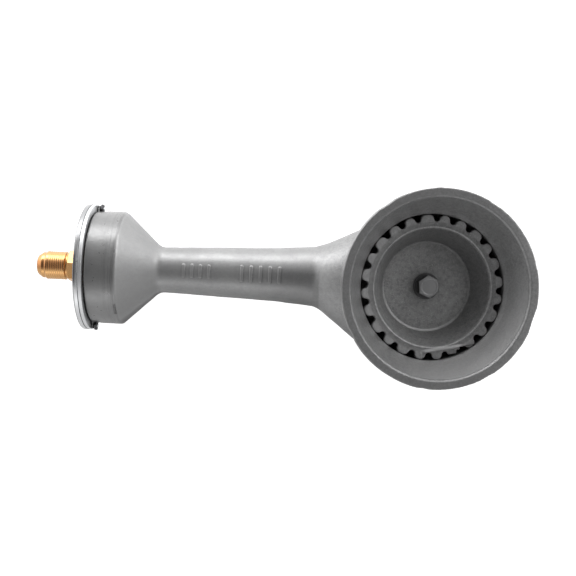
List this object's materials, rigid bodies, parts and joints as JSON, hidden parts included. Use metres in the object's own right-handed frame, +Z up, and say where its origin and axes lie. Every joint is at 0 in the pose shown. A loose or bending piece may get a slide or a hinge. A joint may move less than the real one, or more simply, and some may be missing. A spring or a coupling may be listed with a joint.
{
  "type": "atmospheric gas burner",
  "caption": "Cast-iron gas burner: bell mouth with air shutter and brass inlet, tapered mixing tube, and a bowl head with a toothed port cup.",
  "frame": {"origin": "centre of the flat pad under the bowl", "axes": "+Z up, +X along the mixing tube from the gas inlet toward the bowl, +Y across the tube; the bowl's own axis leans 12 degrees from +Z toward +X"},
  "size_m": [0.3182, 0.1211, 0.1059],
  "materials": {
    "burner_casting": "grey heat-resistant coat over a sand-cast surface",
    "port_cup": "grey cast iron, edges turned bright",
    "cup_bolt": "dull steel",
    "fastener_steel": "zinc-plated steel",
    "nut_steel": "dark oxide steel",
    "mixer_plate": "zinc-plated sheet steel",
    "air_shutter": "bright zinc-plated sheet steel",
    "inlet_brass": "machined brass"
  },
  "bodies": {
    "burner": {"burner_casting": "burner_casting", "port_cup": "port_cup", "cup_bolt": "cup_bolt", "cup_washer": "fastener_steel", "cup_spring_washer": "fastener_steel", "mixer_plate": "mixer_plate", "plate_screw_a": "fastener_steel", "plate_screw_b": "fastener_steel", "plate_nut_a": "nut_steel", "plate_nut_b": "nut_steel", "inlet_fitting": "inlet_brass", "wave_washer": "fastener_steel", "fitting_locknut": "inlet_brass", "orifice_jet": "inlet_brass"},
    "air_shutter": {"air_shutter": "air_shutter"},
    "lock_screw": {"lock_screw": "fastener_steel", "lock_washer": "fastener_steel"}
  },
  "joints": [
    {"name": "shutter_turn", "type": "hinge", "parent": "burner", "child": "air_shutter", "pos_m": [-0.2144, 0, 0.03], "axis": [1, 0, 0], "range_deg": [0, 45]},
    {"name": "lock_screw_turn", "type": "hinge", "parent": "burner", "child": "lock_screw", "pos_m": [-0.2144, 0, -0.0045], "axis": [-1, 0, 0], "range_deg": [0, 360]}
  ]
}
